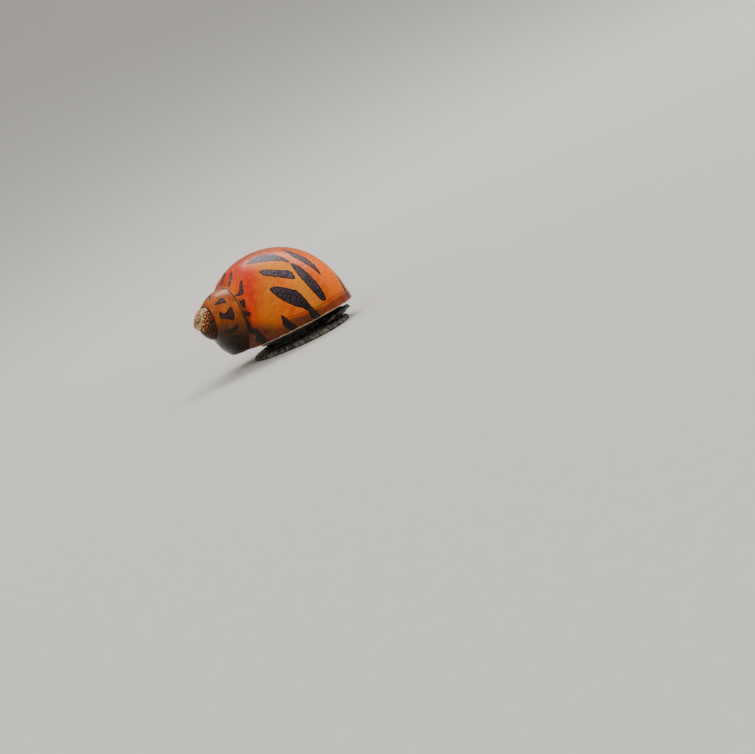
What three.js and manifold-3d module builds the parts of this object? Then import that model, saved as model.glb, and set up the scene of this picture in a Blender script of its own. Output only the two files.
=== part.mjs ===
// A nerite snail, life size, standing on a flat floor with its head tucked under the front of its shell.
// Millimetres. +Z is up, -Y is where the animal looks, +X is the animal's left.
// The origin is the middle of the sole of the foot, on the floor.

import * as THREE from 'three';
import Module from 'manifold-3d';
import { mergeVertices } from 'three/addons/utils/BufferGeometryUtils.js';

const wasm = await Module();
wasm.setup();

const DEGREE = Math.PI / 180;

// Driving dimensions of the shell
const GROWTH_PER_TURN = 2.075; // the shell is this many times larger after each full turn
const WHORL_OUT = 5.13; // from the coil axis to the middle of the whorl, at the front of the last turn
const WHORL_DOWN = 15.79; // from the apex to the middle of the whorl, along the coil axis
const WHORL_HALF_WIDTH = 6.33; // half the whorl across the axis
const WHORL_HALF_LENGTH = 9.14; // half the whorl along the axis
const WHORL_LEAN = -16.3 * DEGREE; // the whorl's oval leans out towards the apex
const AXIS_FALL = 18.5 * DEGREE; // the coil axis sinks from the apex towards the animal's left
const AXIS_TURN = 35 * DEGREE; // the apex points this far back from the animal's right
const APEX_ABOVE_LIP = 7.74;
const APEX_START = -875 * DEGREE; // the oldest whorls before this turn have worn away
const APEX_CAP_RADIUS = 0.95;
const AXIS_CLEAR = 0.6; // the whorl rounds off this close to the coil axis
const LIP_HEIGHT = 2.5; // the lip of the shell above the floor
const LIP_WALL = 0.75; // thickness of the shell at its lip
const APERTURE_DEPTH = 1.6;

// Driving dimensions of the animal
const SOLE_X = 14.0; // the middle of the sole, from the apex, along the coil axis as seen from above
const SOLE_Y = -4.0;
const FOOT_LENGTH = 17.2;
const FOOT_WIDTH = 12.4;
const FOOT_FOLDS = 28; // folds round the margin of the foot
const FOLD_DEPTH = 0.1;
const HEAD_TIP_Y = -8.7;
const HEAD_MIDDLE_X = 1.2; // the head looks out a little to the left, under the widest part of the lip
const HEAD_HALF_WIDTH = 2.55;
const HEAD_HALF_HEIGHT = 0.62;
const HEAD_MIDDLE_Z = 1.6;
const TENTACLE_BASE_RADIUS = 0.42;
const TENTACLE_TIP_RADIUS = 0.15;
const EYE_RADIUS = 0.34;
const STALK_RADIUS = 0.5;
const OPERCULUM_HALF_WIDTH = 3.9;
const OPERCULUM_HALF_LENGTH = 2.5;
const OPERCULUM_THICKNESS = 0.6;

// Parts that touch keep this much between them
const GAP = 0.3;

// How finely the curved forms are divided
const COIL_STEP = 10 * DEGREE;
const BODY_SIDES = 36;
const SPIRE_SIDES = 26;
const APEX_SIDES = 16;
const SLIVER = 0.02; // faces thinner than this are merged away

const COLOURS = {
  bodyWhorl: 0xc8641c,
  spireWhorl: 0xb0622a,
  apex: 0xa08468,
  mantle: 0x2b2a2c,
  foot: 0x232224,
  head: 0x29272a,
  tentacle: 0x3a3736,
  eye: 0x050506,
  operculum: 0x4c3c34,
};

// Solids for cutting and joining
function solidOf(geometry) {
  const plain = new THREE.BufferGeometry();
  plain.setAttribute('position', geometry.getAttribute('position'));
  if (geometry.index) plain.setIndex(geometry.index);
  const merged = mergeVertices(plain, 1e-4);
  const vertices = merged.attributes.position;
  const point = (_, i) => new THREE.Vector3().fromBufferAttribute(vertices, i);
  return solidOfFaces(Array.from({ length: vertices.count }, point), merged.index.array);
}

function solidOfFaces(points, faces) {
  const mesh = new wasm.Mesh({
    numProp: 3,
    vertProperties: Float32Array.from(points.flatMap((p) => p.toArray())),
    triVerts: Uint32Array.from(faces),
  });
  return new wasm.Manifold(mesh);
}

function largestBody(solid) {
  const bodies = solid.decompose();
  bodies.sort((a, b) => b.volume() - a.volume());
  return bodies[0];
}

function geometryOf(solid) {
  const mesh = solid.getMesh();
  const geometry = new THREE.BufferGeometry();
  const vertices = new THREE.BufferAttribute(Float32Array.from(mesh.vertProperties), 3);
  geometry.setAttribute('position', vertices);
  geometry.setIndex(new THREE.BufferAttribute(Uint32Array.from(mesh.triVerts), 1));
  geometry.computeVertexNormals();
  return geometry;
}

function meshOf(name, solid, colour, roughness) {
  const material = new THREE.MeshStandardMaterial({ color: colour, roughness, metalness: 0 });
  const mesh = new THREE.Mesh(geometryOf(largestBody(solid).simplify(SLIVER)), material);
  mesh.name = name;
  return mesh;
}

// A closed solid through a row of rings of equal count, with a fan of faces over each end
function loftSolid(rings) {
  const count = rings[0].length;
  const ends = [rings[0], rings[rings.length - 1]];
  const middles = ends.map((ring) => ring.reduce((sum, p) => sum.add(p), new THREE.Vector3()));
  const points = [...rings.flat(), ...middles.map((middle) => middle.divideScalar(count))];
  const first = points.length - 2;
  const last = points.length - 1;
  const faces = [];
  for (let i = 0; i < count; i++) {
    const next = (i + 1) % count;
    for (let row = 0; row < rings.length - 1; row++) {
      const near = row * count;
      const far = near + count;
      faces.push(near + i, far + next, far + i, near + i, near + next, far + next);
    }
    const end = (rings.length - 1) * count;
    faces.push(first, next, i, last, end + i, end + next);
  }
  const solid = solidOfFaces(points, faces);
  return solid.volume() > 0 ? solid : solidOfFaces(points, faces.reverse());
}

// The frame of the coil, seen in the animal's frame
const coilAxis = new THREE.Vector3(Math.cos(AXIS_FALL), 0, -Math.sin(AXIS_FALL));
const coilUp = new THREE.Vector3(Math.sin(AXIS_FALL), 0, Math.cos(AXIS_FALL));
const coilForward = new THREE.Vector3().crossVectors(coilAxis, coilUp);
const apexPlace = new THREE.Vector3(-SOLE_X, -SOLE_Y, 0);
const up = new THREE.Vector3(0, 0, 1);
for (const v of [coilAxis, coilUp, coilForward, apexPlace]) v.applyAxisAngle(up, -AXIS_TURN);
apexPlace.z = LIP_HEIGHT + APEX_ABOVE_LIP;

// Turn 0 is the top of the last whorl and 90 degrees its front, where the growth is 1
const growthAt = (turn) => GROWTH_PER_TURN ** ((turn / DEGREE - 90) / 360);

// A point of the whorl's oval: side 0 is its outside, 90 degrees its base and -90 its apex side
function ovalPoint(side, outset) {
  const x = (WHORL_HALF_WIDTH + outset) * Math.cos(side);
  const y = (WHORL_HALF_LENGTH + outset) * Math.sin(side);
  const out = WHORL_OUT + x * Math.cos(WHORL_LEAN) - y * Math.sin(WHORL_LEAN);
  const down = WHORL_DOWN + x * Math.sin(WHORL_LEAN) + y * Math.cos(WHORL_LEAN);
  return { out: (out + Math.hypot(out, AXIS_CLEAR)) / 2, down };
}

function coilPoint(turn, side, outset = 0) {
  const growth = growthAt(turn);
  const { out, down } = ovalPoint(side, outset / growth);
  return apexPlace.clone()
    .addScaledVector(coilAxis, growth * down)
    .addScaledVector(coilUp, growth * out * Math.cos(turn))
    .addScaledVector(coilForward, growth * out * Math.sin(turn));
}

function coilRing(turn, sides, outset) {
  return Array.from({ length: sides }, (_, i) => coilPoint(turn, (i / sides) * 2 * Math.PI, outset));
}

// A stretch of the coil as one closed solid, joined from lengths of under half a turn
function coilSolid(from, to, sides, outset = 0) {
  const lengths = Math.max(1, Math.ceil((to - from) / Math.PI));
  const pieces = [];
  for (let n = 0; n < lengths; n++) {
    const start = from + ((to - from) * n) / lengths;
    const end = from + ((to - from) * (n + 1)) / lengths;
    const steps = Math.ceil((end - start) / COIL_STEP);
    const turns = Array.from({ length: steps + 1 }, (_, i) => start + ((end - start) * i) / steps);
    pieces.push(loftSolid(turns.map((turn) => coilRing(turn, sides, outset))));
  }
  return pieces.reduce((whole, piece) => whole.add(piece));
}

// The side of the oval at which a whorl meets the whorl before it
function findSutureSide() {
  const insidePrevious = (side) => {
    const { out, down } = ovalPoint(side, 0);
    const dx = out * GROWTH_PER_TURN - WHORL_OUT;
    const dy = down * GROWTH_PER_TURN - WHORL_DOWN;
    const x = dx * Math.cos(WHORL_LEAN) + dy * Math.sin(WHORL_LEAN);
    const y = -dx * Math.sin(WHORL_LEAN) + dy * Math.cos(WHORL_LEAN);
    return (x / WHORL_HALF_WIDTH) ** 2 + (y / WHORL_HALF_LENGTH) ** 2 < 1;
  };
  let side = 60 * DEGREE;
  while (!insidePrevious(side)) side -= 0.1 * DEGREE;
  return side;
}

// The turn at which one side of the whorl comes down to the level of the lip, in front of the animal
function turnAtLip(side) {
  let above = 60 * DEGREE;
  let below = 200 * DEGREE;
  for (let i = 0; i < 40; i++) {
    const middle = (above + below) / 2;
    if (coilPoint(middle, side).z > LIP_HEIGHT) above = middle;
    else below = middle;
  }
  return above;
}

const sutureSide = findSutureSide();
const BASE_SIDE = 141 * DEGREE; // the side at which the lip ends, at the base of the shell
const BASE_INSET = 0.06; // the rounded base lies this far inside the whorls where they are full
const HEEL_X = 3.4; // the base of the shell swells here, where the whorls alone would leave a hollow
const HEEL_Y = 0.8;
const HEEL_RISE = 1.8;
const HEEL_RADII = [4.9, 7.5, 5];
const lipTurn = turnAtLip(sutureSide);
const bodyStart = lipTurn - 2 * Math.PI;
const spireStart = bodyStart - 2 * Math.PI;
const bodyEnd = 180 * DEGREE;

// A box that holds all that lies under a level
function everythingUnder(level) {
  const size = 80;
  const box = new THREE.BoxGeometry(size, size, size);
  box.translate(0, 0, level - size / 2);
  return solidOf(box);
}

// A thin slice of the aperture, drawn in from the lip; the inner lip is the straight side of it
const LIP_POINTS = 40;
const lipOutline = Array.from({ length: LIP_POINTS }, (_, i) => {
  const side = sutureSide + ((BASE_SIDE - sutureSide) * i) / (LIP_POINTS - 1);
  const point = coilPoint(turnAtLip(side), side);
  return [point.x, point.y];
});

function apertureSlice(inset, z, thickness = 0.01) {
  const whole = new wasm.CrossSection([lipOutline], 'EvenOdd');
  const outline = whole.offset(-inset, 'Round', 2, 40).simplify(0.03);
  return wasm.Manifold.extrude(outline, thickness).translate([0, 0, z]);
}

// The shell, coiled to the animal's right and cut flat underneath by its own callus
const belowLip = everythingUnder(LIP_HEIGHT);
const opening = apertureSlice(LIP_WALL, LIP_HEIGHT - 1, APERTURE_DEPTH + 1);
const gapTurn = (radius) => GAP / radius;

// The worn tip, up to a turn; with an outset it is the room that the tip needs
function apexSolid(end, outset = 0) {
  const middle = coilPoint(APEX_START, 0).add(coilPoint(APEX_START, Math.PI)).multiplyScalar(0.5);
  return coilSolid(APEX_START, end, APEX_SIDES, outset).add(ball(APEX_CAP_RADIUS + outset, middle));
}

function makeSpireWhorl() {
  const radius = growthAt(spireStart) * (WHORL_OUT + WHORL_HALF_WIDTH);
  const apexRoom = apexSolid(spireStart + gapTurn(radius), GAP);
  return coilSolid(spireStart, bodyStart, SPIRE_SIDES)
    .subtract(apexRoom)
    .subtract(belowLip)
    .subtract(opening);
}

// The base of the last whorl is rounded over from side to side, with no hollow at the coil axis
function makeBase() {
  const points = lipOutline.map(([x, y]) => [x, y, LIP_HEIGHT]);
  for (let turn = -110 * DEGREE; turn < 165 * DEGREE; turn += COIL_STEP) {
    for (let side = 0; side < Math.PI; side += (2 * Math.PI) / BODY_SIDES) {
      const point = coilPoint(turn, side, -BASE_INSET);
      if (point.z > LIP_HEIGHT) points.push(point.toArray());
    }
  }
  const heel = new THREE.SphereGeometry(1, 24, 16);
  heel.scale(HEEL_RADII[0], HEEL_RADII[1], HEEL_RADII[2]);
  heel.translate(HEEL_X, HEEL_Y, LIP_HEIGHT + HEEL_RISE);
  return wasm.Manifold.hull([...points, solidOf(heel)]);
}

// Close to the coil axis the last whorl would run on past the lip as a thin spike
function makeSpike() {
  const length = 20;
  const spike = new THREE.CylinderGeometry(1.6, 1.6, length, 16);
  spike.applyQuaternion(new THREE.Quaternion().setFromUnitVectors(new THREE.Vector3(0, 1, 0), coilAxis));
  const middle = apexPlace.clone().addScaledVector(coilAxis, 1.25 * WHORL_DOWN + length / 2);
  spike.translate(middle.x, middle.y, middle.z);
  return solidOf(spike);
}

function makeBodyWhorl() {
  const radius = growthAt(bodyStart) * (WHORL_OUT + WHORL_HALF_WIDTH);
  const spireRoom = coilSolid(spireStart, bodyStart + gapTurn(radius), SPIRE_SIDES, GAP);
  const apexRoom = apexSolid(spireStart, GAP);
  return coilSolid(bodyStart, bodyEnd, BODY_SIDES)
    .subtract(makeSpike())
    .add(makeBase())
    .subtract(spireRoom)
    .subtract(apexRoom)
    .subtract(belowLip)
    .subtract(opening);
}

// The mantle fills the aperture and shows as a rolled rim inside the lip
function makeMantle() {
  const inset = LIP_WALL + GAP;
  return wasm.Manifold.hull([
    apertureSlice(inset + 0.5, LIP_HEIGHT + 0.45),
    apertureSlice(inset + 0.15, LIP_HEIGHT + 0.58),
    apertureSlice(inset, LIP_HEIGHT + 0.8, APERTURE_DEPTH - GAP - 0.8),
  ]);
}

// The foot: a flat sole with a thin folded margin that rises to the stalk of the body
function footRing({ z, scale, folds = 0 }, outset) {
  const count = FOOT_FOLDS * 3;
  return Array.from({ length: count }, (_, i) => {
    const angle = (i / count) * 2 * Math.PI;
    const front = Math.cos(angle);
    const broad = 1 + 0.1 * front; // broader in front than behind
    const fold = folds * FOLD_DEPTH * Math.cos(FOOT_FOLDS * angle);
    const halfWidth = (FOOT_WIDTH / 2) * scale + outset + fold;
    const halfLength = (FOOT_LENGTH / 2) * scale + outset + fold;
    const square = Math.sign(front) * Math.abs(front) ** 0.86;
    return new THREE.Vector3(halfWidth * broad * Math.sin(angle), -halfLength * square, z);
  });
}

const FOOT_LEVELS = [
  { z: 0, scale: 0.965 },
  { z: 0.16, scale: 1, folds: 0.7 },
  { z: 0.46, scale: 0.985, folds: 1 },
  { z: 0.74, scale: 0.93, folds: 0.6 },
  { z: 0.95, scale: 0.83, folds: 0.2 },
  { z: 1.25, scale: 0.7 },
  { z: 1.7, scale: 0.56 },
  { z: LIP_HEIGHT - 0.55, scale: 0.46 },
];

// The body rises out of the sole into the aperture and stops just under the mantle
function makeFoot(outset = 0) {
  const sole = loftSolid(FOOT_LEVELS.map((level) => footRing(level, outset)));
  const stalk = wasm.Manifold.hull([
    apertureSlice(LIP_WALL + 2.9 - outset, 0.9),
    apertureSlice(LIP_WALL + 1.8 - outset, LIP_HEIGHT - 0.4),
    apertureSlice(LIP_WALL + 1.7 - outset, LIP_HEIGHT + 0.15 + outset),
  ]);
  return sole.add(stalk);
}

// The head: a broad flat snout over the front of the foot, with a short stalk for each eye
const HEAD_STATIONS = [
  { back: 5.6, width: 0.72, height: 0.9 },
  { back: 3.8, width: 0.86, height: 1 },
  { back: 2.3, width: 1, height: 1 },
  { back: 1.1, width: 0.94, height: 0.9 },
  { back: 0.35, width: 0.74, height: 0.66 },
  { back: 0, width: 0.42, height: 0.3 },
];

function headRing({ back, width, height }, outset) {
  const count = 28;
  return Array.from({ length: count }, (_, i) => {
    const angle = (i / count) * 2 * Math.PI;
    const x = HEAD_MIDDLE_X + (HEAD_HALF_WIDTH * width + outset) * Math.cos(angle);
    const z = HEAD_MIDDLE_Z + (HEAD_HALF_HEIGHT * height + outset) * Math.sin(angle);
    return new THREE.Vector3(x, HEAD_TIP_Y + back - outset, z);
  });
}

const headBlock = (outset = 0) => loftSolid(HEAD_STATIONS.map((s) => headRing(s, outset)));
const onHead = (x, back, z) => new THREE.Vector3(HEAD_MIDDLE_X + x, HEAD_TIP_Y + back, HEAD_MIDDLE_Z + z);
const stalkPlace = (side) => onHead(side * 2.5, 2.75, 0.1);
const eyePlace = (side) => onHead(side * 2.9, 2.45, 0.14);

function ball(radius, centre, width = 16, height = 12) {
  const geometry = new THREE.SphereGeometry(radius, width, height);
  geometry.translate(centre.x, centre.y, centre.z);
  return solidOf(geometry);
}

// The line of the mouth is an arched groove in the front of the snout
function mouthGroove() {
  const groove = new THREE.TorusGeometry(1.05, 0.13, 6, 24);
  groove.scale(1, 0.42, 1);
  groove.rotateX(100 * DEGREE);
  groove.translate(HEAD_MIDDLE_X, HEAD_TIP_Y + 0.16, HEAD_MIDDLE_Z - 0.22);
  return solidOf(groove);
}

function makeHead() {
  let head = headBlock();
  for (const side of [-1, 1]) head = head.add(ball(STALK_RADIUS, stalkPlace(side)));
  for (const side of [-1, 1]) head = head.subtract(ball(EYE_RADIUS + GAP / 2, eyePlace(side)));
  return head.subtract(mouthGroove()).subtract(makeFoot(GAP));
}

// A tentacle bends out sideways from the corner of the snout and stays under the lip
function makeTentacle(side) {
  const path = new THREE.CatmullRomCurve3([
    onHead(side * 1.7, 1.7, 0),
    onHead(side * 2.45, 1.1, -0.05),
    onHead(side * 3.2, 1, -0.15),
    onHead(side * 3.95, 1.45, -0.32),
  ]);
  const steps = 16;
  const count = 12;
  const frames = path.computeFrenetFrames(steps, false);
  const rings = Array.from({ length: steps + 1 }, (_, i) => {
    const share = i / steps;
    const middle = path.getPointAt(share);
    const taper = TENTACLE_BASE_RADIUS + (TENTACLE_TIP_RADIUS - TENTACLE_BASE_RADIUS) * share;
    return Array.from({ length: count }, (_, j) => {
      const angle = (j / count) * 2 * Math.PI;
      return middle.clone()
        .addScaledVector(frames.normals[i], taper * Math.cos(angle))
        .addScaledVector(frames.binormals[i], taper * Math.sin(angle));
    });
  });
  return loftSolid(rings).subtract(headBlock(GAP));
}

// The operculum: a thin plate with one straight edge, carried on the tail of the foot
function makeOperculum() {
  const plate = new THREE.Shape();
  plate.moveTo(-OPERCULUM_HALF_WIDTH, 0);
  plate.quadraticCurveTo(0, -0.5, OPERCULUM_HALF_WIDTH, 0);
  plate.bezierCurveTo(
    OPERCULUM_HALF_WIDTH, 1.5 * OPERCULUM_HALF_LENGTH,
    -OPERCULUM_HALF_WIDTH * 0.6, 2.6 * OPERCULUM_HALF_LENGTH,
    -OPERCULUM_HALF_WIDTH, 0,
  );
  const geometry = new THREE.ExtrudeGeometry(plate, {
    depth: OPERCULUM_THICKNESS,
    bevelEnabled: false,
    curveSegments: 16,
  });
  geometry.translate(0.2, 2.9, 1.55);
  return solidOf(geometry).subtract(makeFoot(GAP));
}

const snail = new THREE.Group();
snail.name = 'nerite_snail';

const shell = new THREE.Group();
shell.add(meshOf('shell_body_whorl', makeBodyWhorl(), COLOURS.bodyWhorl, 0.25));
shell.add(meshOf('shell_spire_whorl', makeSpireWhorl(), COLOURS.spireWhorl, 0.3));
shell.add(meshOf('shell_apex', apexSolid(spireStart), COLOURS.apex, 0.8));
snail.add(shell);

const body = new THREE.Group();
body.add(meshOf('mantle', makeMantle(), COLOURS.mantle, 0.45));
body.add(meshOf('foot', makeFoot(), COLOURS.foot, 0.5));
body.add(meshOf('operculum', makeOperculum(), COLOURS.operculum, 0.4));
body.add(meshOf('head', makeHead(), COLOURS.head, 0.5));
for (const [name, side] of [['left', 1], ['right', -1]]) {
  body.add(meshOf(`tentacle_${name}`, makeTentacle(side), COLOURS.tentacle, 0.5));
  body.add(meshOf(`eye_${name}`, ball(EYE_RADIUS, eyePlace(side)), COLOURS.eye, 0.1));
}
snail.add(body);

export default snail;
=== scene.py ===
"""A nerite snail, life size: a glossy domed shell over a dark foot, head and feelers."""

import math

import bmesh
import bpy
import numpy as np
from mathutils import Matrix, Vector


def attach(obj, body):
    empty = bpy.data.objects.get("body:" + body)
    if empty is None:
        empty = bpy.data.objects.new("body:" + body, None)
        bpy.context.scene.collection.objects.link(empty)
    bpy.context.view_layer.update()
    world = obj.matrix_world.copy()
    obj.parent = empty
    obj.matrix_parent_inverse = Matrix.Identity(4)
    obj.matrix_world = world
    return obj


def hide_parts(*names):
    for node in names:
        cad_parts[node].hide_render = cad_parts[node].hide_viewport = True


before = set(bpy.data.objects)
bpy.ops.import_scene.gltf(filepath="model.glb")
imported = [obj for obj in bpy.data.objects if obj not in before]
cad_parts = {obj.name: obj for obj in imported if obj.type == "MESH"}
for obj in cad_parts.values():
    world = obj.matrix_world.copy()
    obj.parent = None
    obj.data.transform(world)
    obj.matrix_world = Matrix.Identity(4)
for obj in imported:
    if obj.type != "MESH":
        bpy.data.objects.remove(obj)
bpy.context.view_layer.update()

# The shell of the snail: limy whorls that grow along one spiral, under a thin glossy skin.
# It is one piece in life, so the last whorl, the spire whorl and the worn tip are one mesh here.
# Its lip lies 2.5 mm above the floor, and the whorls widen 2.075 times in each turn.
GROWTH_PER_TURN = 2.075
WHORL_OUT, WHORL_DOWN = 5.13, 15.79
WHORL_HALF_WIDTH, WHORL_HALF_LENGTH = 6.33, 9.14
WHORL_LEAN, AXIS_FALL, AXIS_TURN = (math.radians(a) for a in (-16.3, 18.5, 35))
APEX_ABOVE_LIP, LIP_HEIGHT, AXIS_CLEAR = 7.74, 2.5, 0.6
SOLE_FROM_APEX = (14.0, -4.0)
FIRST_TURN, LAST_TURN, SUTURE_SIDE, BASE_SIDE = -875, 180, -63.9, 141
SPIRE_BEGINS, LAST_WHORL_BEGINS = -568.4, -208.4
TIP_RADIUS, LIP_WALL = 0.95, 0.7
MM_PER_TURN_DEGREE, MM_PER_SIDE_DEGREE = 0.19, 0.15
OPENING_DEPTH, HEEL_HALF_SIZE, HEEL_MIDDLE = 1.6, (4.9, 7.5, 5), (3.4, 0.8, LIP_HEIGHT + 1.8)
WHORL_VOXEL, SKIN_VOXEL = 0.11, 0.085


def turned(points, angle):
    """Points turned about the upright, in radians."""
    x, y, z = np.moveaxis(np.asarray(points, float), -1, 0)
    c, s = math.cos(angle), math.sin(angle)
    return np.stack([c * x - s * y, s * x + c * y, z], -1)


coil_axis = turned([math.cos(AXIS_FALL), 0, -math.sin(AXIS_FALL)], -AXIS_TURN)
coil_up = turned([math.sin(AXIS_FALL), 0, math.cos(AXIS_FALL)], -AXIS_TURN)
coil_forward = np.cross(coil_axis, coil_up)
apex = turned([-SOLE_FROM_APEX[0], -SOLE_FROM_APEX[1], 0], -AXIS_TURN)
apex[2] = LIP_HEIGHT + APEX_ABOVE_LIP


def growth_at(turn):
    return GROWTH_PER_TURN ** ((turn - 90) / 360)


def coil_point(turn, side):
    """A point of the whorls in mm. Turn 90 is the front of the last whorl; side 0 is its outside."""
    growth = growth_at(turn)
    turn, side = np.radians(turn), np.radians(side)
    x, y = WHORL_HALF_WIDTH * np.cos(side), WHORL_HALF_LENGTH * np.sin(side)
    out = WHORL_OUT + x * math.cos(WHORL_LEAN) - y * math.sin(WHORL_LEAN)
    down = WHORL_DOWN + x * math.sin(WHORL_LEAN) + y * math.cos(WHORL_LEAN)
    out = (out + np.hypot(out, AXIS_CLEAR)) / 2
    # Near the lip the base of the whorl is rounded off by the callus
    callus = np.minimum(down, (20.5 + 2.2 * out * growth) / growth)
    down = np.where(growth > 0.95, callus, down)
    along = (growth * down)[..., None] * coil_axis
    upward = (growth * out * np.cos(turn))[..., None] * coil_up
    return apex + along + upward + (growth * out * np.sin(turn))[..., None] * coil_forward


def coil_place(points):
    """Turn and side of each point on the whorl that it lies nearest, its height over that whorl and
    over the next nearest one in mm, and the turn of that next one."""
    away = points - apex
    down, up, forward = away @ coil_axis, away @ coil_up, away @ coil_forward
    out, around = np.hypot(up, forward), np.degrees(np.arctan2(forward, up))
    found = []
    for k in range(-3, 1):
        turn = around + 360 * k
        growth = growth_at(turn)
        dx, dy = out / growth - WHORL_OUT, down / growth - WHORL_DOWN
        x = dx * math.cos(WHORL_LEAN) + dy * math.sin(WHORL_LEAN)
        y = -dx * math.sin(WHORL_LEAN) + dy * math.cos(WHORL_LEAN)
        x, y = x / WHORL_HALF_WIDTH, y / WHORL_HALF_LENGTH
        slope = np.hypot(x / WHORL_HALF_WIDTH, y / WHORL_HALF_LENGTH) + 1e-9
        height = (x * x + y * y - 1) / (2 * slope) * growth
        height = np.where((turn > 152) | (turn < FIRST_TURN - 20), 99, height)
        found.append((turn, np.degrees(np.arctan2(y, x)), height))
    turn, side, height = (np.stack(values) for values in zip(*found))
    order = np.argsort(np.abs(height), axis=0)
    turn, side, height = (np.take_along_axis(values, order, 0) for values in (turn, side, height))
    return turn[0], side[0], height[0], height[1], turn[1]


# The lip: the turn, at each side, at which the whorl comes down to the lip's level
LIP_POINTS = 90
lip_sides = np.linspace(SUTURE_SIDE, BASE_SIDE, LIP_POINTS)
lip_turns, low_turns = np.full(LIP_POINTS, 60.0), np.full(LIP_POINTS, 200.0)
for _ in range(40):
    middle = (lip_turns + low_turns) / 2
    above = coil_point(middle, lip_sides)[:, 2] > LIP_HEIGHT
    lip_turns, low_turns = np.where(above, middle, lip_turns), np.where(above, low_turns, middle)
lip_outline = coil_point(lip_turns, lip_sides)


def tube(mesh, rings):
    """Adds one closed tube through rings of equal count to a bmesh."""
    rows = [[mesh.verts.new(p) for p in ring] for ring in rings]
    count = len(rows[0])
    for near, far in zip(rows, rows[1:]):
        for i in range(count):
            n = (i + 1) % count
            mesh.faces.new((near[i], near[n], far[n], far[i]))
    for row in (rows[0][::-1], rows[-1]):
        middle = mesh.verts.new(sum((v.co for v in row), Vector()) / count)
        for i in range(count):
            mesh.faces.new((row[i], row[(i + 1) % count], middle))


def piece_of(mesh, name):
    """A Blender object from a bmesh whose faces are made to look outwards."""
    bmesh.ops.recalc_face_normals(mesh, faces=mesh.faces)
    data = bpy.data.meshes.new(name)
    mesh.to_mesh(data)
    mesh.free()
    made = bpy.data.objects.new(name, data)
    bpy.context.scene.collection.objects.link(made)
    return made


def apply_modifier(piece, kind, **settings):
    """Runs one modifier on a piece and keeps its result as the piece's mesh."""
    modifier = piece.modifiers.new(kind, kind)
    for key, value in settings.items():
        setattr(modifier, key, value)
    seen = piece.evaluated_get(bpy.context.evaluated_depsgraph_get())
    data = bpy.data.meshes.new_from_object(seen)
    piece.modifiers.clear()
    old, piece.data = piece.data, data
    data.materials.clear()
    data.name = piece.name
    bpy.data.meshes.remove(old)


def cut_away(piece, cutter):
    """Takes one closed bmesh out of a piece."""
    knife = piece_of(cutter, "knife")
    apply_modifier(piece, "BOOLEAN", operation="DIFFERENCE", solver="MANIFOLD", object=knife)
    bpy.data.objects.remove(knife)


def shape_of(piece):
    """The points of a piece's mesh and the directions that its surface faces there."""
    found = np.empty((2, len(piece.data.vertices) * 3), np.float32)
    piece.data.vertices.foreach_get("co", found[0])
    piece.data.vertices.foreach_get("normal", found[1])
    return found.astype(float).reshape(2, -1, 3)


def move_points(piece, points):
    piece.data.vertices.foreach_set("co", np.asarray(points, np.float32).ravel())
    piece.data.update()


# The whorls: closed lengths of tube along the spiral, joined into one skin
whorls = bmesh.new()
lengths = np.linspace(FIRST_TURN, LAST_TURN, 11)
ring_sides = np.arange(0, 360, 2.5)
for start, end in zip(lengths, lengths[1:]):
    ring_turns = np.linspace(start - 1, end, 60)
    tube(whorls, [coil_point(np.full(ring_sides.shape, turn), ring_sides) for turn in ring_turns])
tip_middle = coil_point(np.full(2, float(FIRST_TURN)), np.array([0.0, 180.0])).mean(0)
tip = bmesh.ops.create_uvsphere(whorls, u_segments=32, v_segments=24, radius=TIP_RADIUS)
bmesh.ops.translate(whorls, verts=tip["verts"], vec=tip_middle)

# The base of the last whorl, rounded over from side to side, as the callus fills it
base = bmesh.new()
grid_turn, grid_side = np.meshgrid(np.arange(-110, 165, 4), np.arange(0, 181, 5))
around = coil_point(grid_turn.ravel(), grid_side.ravel())
inward = around.mean(0) - around
around = around + 0.06 * inward / np.linalg.norm(inward, axis=1)[:, None]
for p in np.vstack([around[around[:, 2] > LIP_HEIGHT], lip_outline]):
    base.verts.new(p)
heel = bmesh.ops.create_uvsphere(base, u_segments=48, v_segments=32, radius=1)["verts"]
bmesh.ops.scale(base, verts=heel, vec=HEEL_HALF_SIZE)
bmesh.ops.translate(base, verts=heel, vec=HEEL_MIDDLE)
bmesh.ops.delete(base, geom=base.faces[:], context="FACES_KEEP_BOUNDARY")
bmesh.ops.convex_hull(base, input=base.verts[:])
bmesh.ops.delete(base, geom=[v for v in base.verts if not v.link_faces], context="VERTS")
rounded_base = piece_of(base, "rounded_base")
whorls.from_mesh(rounded_base.data)
bpy.data.objects.remove(rounded_base)
shell = piece_of(whorls, "shell")
apply_modifier(shell, "REMESH", mode="VOXEL", voxel_size=WHORL_VOXEL)

# The flat underside, and the opening with its 0.7 mm wall
ahead, behind = np.roll(lip_outline, -1, 0), np.roll(lip_outline, 1, 0)
ahead[-1], behind[0] = lip_outline[-1], lip_outline[0]
inward = np.cross(ahead - behind, [0, 0, 1.0])
inward /= np.linalg.norm(inward, axis=1)[:, None]
inward *= np.sign(np.sum(inward * (lip_outline.mean(0) - lip_outline), 1))[:, None]
opening = lip_outline + LIP_WALL * inward
straight = opening[-1] - opening[0]
inward = np.cross([0, 0, 1.0], straight / np.linalg.norm(straight))
inward *= np.sign(inward @ (lip_outline.mean(0) - opening[0]))
opening = opening[(opening - opening[0]) @ inward > 0.75]
cutter = bmesh.new()
bmesh.ops.create_cube(cutter, size=60)
bmesh.ops.translate(cutter, verts=cutter.verts, vec=(0, 0, LIP_HEIGHT - 30))
cut_away(shell, cutter)
cutter = bmesh.new()
cut_heights = (LIP_HEIGHT - 1, LIP_HEIGHT + OPENING_DEPTH)
tube(cutter, [np.column_stack([opening[:, :2], np.full(len(opening), z)]) for z in cut_heights])
cut_away(shell, cutter)
apply_modifier(shell, "REMESH", mode="VOXEL", voxel_size=SKIN_VOXEL)
apply_modifier(shell, "SMOOTH", factor=0.5, iterations=4)


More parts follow.
